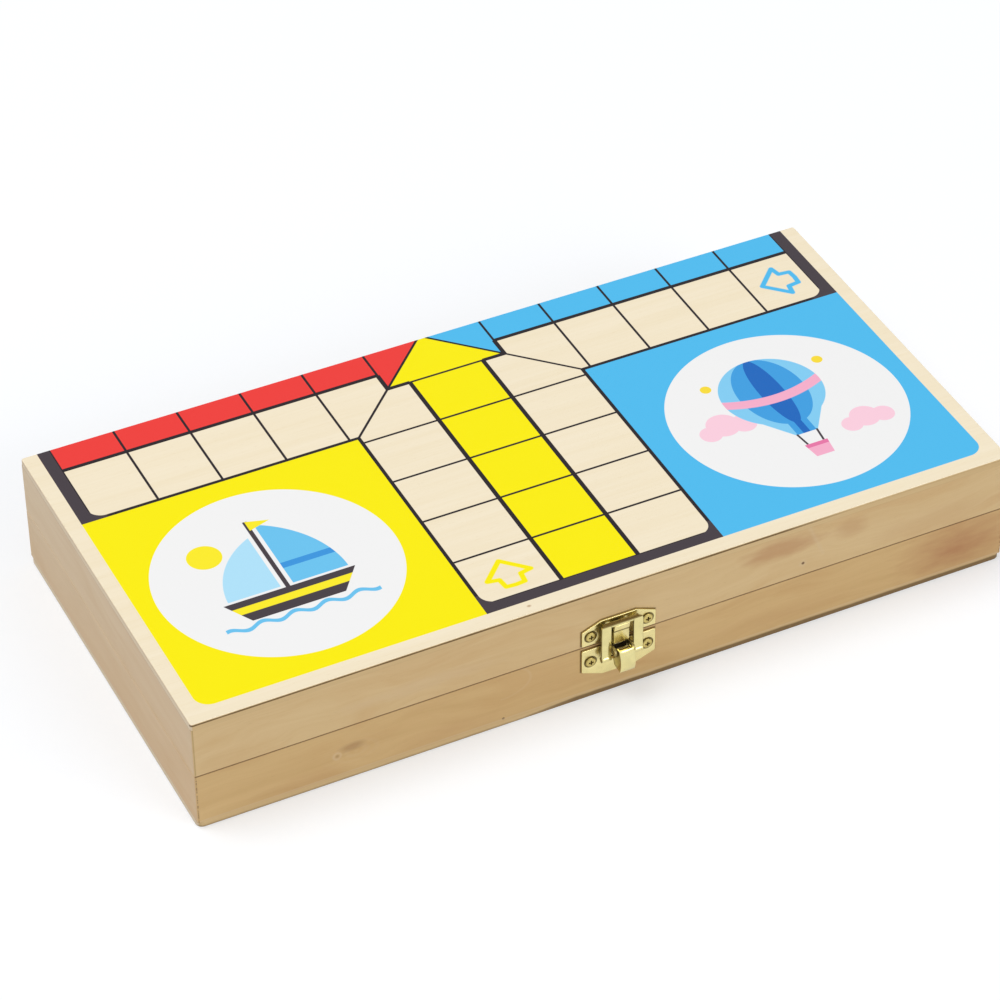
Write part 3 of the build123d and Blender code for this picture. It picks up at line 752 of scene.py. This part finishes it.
def finished(node, width):
    """Stands for a solid: its corners merged and its sharp edges rounded by a width in millimetres."""
    piece = bpy.data.objects.new(f"{node}_finished", frame["nodes"][node].data.copy())
    bpy.context.scene.collection.objects.link(piece)
    bpy.ops.object.select_all(action="DESELECT")
    piece.select_set(True)
    bpy.context.view_layer.objects.active = piece
    bpy.ops.object.mode_set(mode="EDIT")
    bpy.ops.mesh.select_all(action="SELECT")
    bpy.ops.mesh.remove_doubles(threshold=0.002 * MM)
    bpy.ops.mesh.dissolve_limited(angle_limit=math.radians(0.5))
    bpy.ops.object.mode_set(mode="OBJECT")
    if width:
        bevel = piece.modifiers.new("rounded edges", "BEVEL")
        bevel.width = width * MM
        bevel.segments = 2
        bevel.limit_method = "ANGLE"
        bevel.angle_limit = SHARP
        bpy.ops.object.modifier_apply(modifier=bevel.name)
    bpy.ops.object.shade_smooth_by_angle(angle=SHARP)
    piece.select_set(False)
    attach(piece, BODY_OF[node])
    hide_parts(node)
    return piece


def finish_all(finish, width, *nodes):
    for node in nodes:
        finish.dress(finished(node, width))


wall_wood("lid_front_wood", True, LID_WOOD, lid_front_marks).cover("lid_front_wall")
wall_wood("base_front_wood", True, BASE_WOOD, base_front_marks).cover("base_front_wall")
wall_wood("lid_back_wood", True, LID_WOOD, back_marks).cover("lid_back_wall")
wall_wood("base_back_wood", True, BASE_WOOD, back_marks).cover("base_back_wall")
wall_wood("end_wood", False, END_WOOD, end_marks).cover(
    *[f"{tray}_{side}_wall" for tray in ("base", "lid") for side in ("left", "right")])
printed_sheet("lid_print", BOX_HEIGHT, 1.0, (YELLOW, RED, BLUE), (YELLOW, BLUE), -1.0,
              (sailing_boat, hot_air_balloon), 1.0, lid_core).cover("lid_sheet")
printed_sheet("base_print", 0.0, -1.0, (GREEN, RED, BLUE), (RED, GREEN), 1.0,
              (apple, clover), -1.0, base_edge_shade).cover("base_sheet")

HINGE_PARTS = "base_leaf", "lid_leaf", "pin"
finish_all(brass("hinge_brass", colour(226, 190, 96), 0.2), 0.12,
           *[f"hinge_{side}_{part}" for side in ("left", "right") for part in HINGE_PARTS])
finish_all(brass("plate_brass", colour(236, 222, 158), 0.2, painted_shade_on_plates), 0.12,
           "catch_keeper", "catch_body_plate")
finish_all(brass("catch_brass", colour(232, 220, 156), 0.12, painted_shade_on_loop), 0.15,
           "catch_lever", "catch_loop")
finish_all(brass("catch_pin_brass", colour(150, 120, 62), 0.2), 0.1,
           "catch_lever_pin", "catch_loop_pin")
finish_all(brass("catch_screw_brass", colour(216, 196, 120), 0.18, painted_shade_on_screws), 0.05,
           "catch_body_screws", "catch_keeper_screws")
finish_all(brass("hinge_screw_brass", colour(214, 184, 98), 0.22), 0.05,
           "base_hinge_screws", "lid_hinge_screws")
for name, base in (("red", colour(222, 40, 38)), ("yellow", colour(250, 214, 28)),
                   ("green", colour(52, 158, 66)), ("blue", colour(36, 118, 206))):
    finish_all(lacquer(f"{name}_lacquer", base), 0.0, f"pawns_{name}")
finish_all(die_plastic(), 0.0, "die")


# ---- Studio

CAMERA_PLACE = Vector((-464.43, -952.0, 901.58)) * MM
CAMERA_RIGHT = Vector((0.89807, -0.43978, -0.00750))
CAMERA_UP = Vector((0.28533, 0.56953, 0.77086))
FRAME_WIDTHS = 4.0194           # the focal length, in widths of the picture
SENSOR_WIDTH = 36.0


def make_camera():
    data = bpy.data.cameras.new("camera")
    data.sensor_width = SENSOR_WIDTH
    data.lens = SENSOR_WIDTH * FRAME_WIDTHS
    data.clip_start, data.clip_end = 0.05, 20.0
    camera = bpy.data.objects.new("camera", data)
    bpy.context.scene.collection.objects.link(camera)
    back = CAMERA_RIGHT.cross(CAMERA_UP)
    turn = Matrix((CAMERA_RIGHT, CAMERA_UP, back)).transposed().to_4x4()
    camera.matrix_world = Matrix.Translation(CAMERA_PLACE) @ turn
    bpy.context.scene.camera = camera


def area_light(name, place, target, size, watts):
    data = bpy.data.lights.new(name, "AREA")
    data.shape, data.size, data.size_y = "RECTANGLE", size[0], size[1]
    data.energy = watts
    lamp = bpy.data.objects.new(name, data)
    bpy.context.scene.collection.objects.link(lamp)
    lamp.location = place
    lamp.rotation_euler = (Vector(target) - Vector(place)).to_track_quat("-Z", "Y").to_euler()


SKY_LIGHT = 0.5                 # the world's strength on everything but what is seen or mirrored
FLOOR_SHADE = (0.64, 0.66, 0.69, 1.0)   # a cool grey, so that the shadows beside the wood look neutral
FLOOR_GLOW = 0.375              # brings the lit floor up to white where it is seen or mirrored


def seen_or_mirrored(tree):
    """1 on rays from the camera, in a reflection or through glass, else 0."""
    path = tree.nodes.new("ShaderNodeLightPath")
    total = path.outputs["Is Camera Ray"]
    for ray in ("Is Glossy Ray", "Is Transmission Ray"):
        highest = tree.nodes.new("ShaderNodeMath")
        highest.operation = "MAXIMUM"
        tree.links.new(total, highest.inputs[0])
        tree.links.new(path.outputs[ray], highest.inputs[1])
        total = highest.outputs[0]
    return total


def scaled(tree, socket, factor, offset, target):
    """Links a socket, times a factor and plus an offset, to a target."""
    node = tree.nodes.new("ShaderNodeMath")
    node.operation = "MULTIPLY_ADD"
    node.inputs[1].default_value, node.inputs[2].default_value = factor, offset
    tree.links.new(socket, node.inputs[0])
    tree.links.new(node.outputs[0], target)


def make_world():
    world = bpy.data.worlds.new("studio")
    bpy.context.scene.world = world
    world.use_nodes = True
    tree = world.node_tree
    background = tree.nodes["Background"]
    background.inputs["Color"].default_value = (1.0, 1.0, 1.0, 1.0)
    scaled(tree, seen_or_mirrored(tree), 1.0 - SKY_LIGHT, SKY_LIGHT, background.inputs["Strength"])


def make_floor():
    bpy.ops.object.select_all(action="DESELECT")
    bpy.ops.mesh.primitive_plane_add(size=8.0, location=(0.0, 0.0, 0.0))
    floor = bpy.context.object
    floor.name = "floor"
    material = bpy.data.materials.new("floor_white")
    material.use_nodes = True
    tree = material.node_tree
    shader = tree.nodes["Principled BSDF"]
    shader.inputs["Base Color"].default_value = FLOOR_SHADE
    shader.inputs["Roughness"].default_value = 0.9
    shader.inputs["Specular IOR Level"].default_value = 0.0
    shader.inputs["Emission Color"].default_value = (1.0, 1.0, 1.0, 1.0)
    scaled(tree, seen_or_mirrored(tree), FLOOR_GLOW, 0.0, shader.inputs["Emission Strength"])
    floor.data.materials.append(material)


make_camera()
make_world()
area_light("key", (-1.6, 0.5, 4.0), (0.0, 0.0, 0.0), (2.4, 2.4), 82.0)
area_light("fill", (1.5, -3.3, 1.9), (0.0, 0.0, 0.02), (2.4, 1.6), 45.0)
make_floor()
bpy.context.scene.view_settings.view_transform = "Standard"
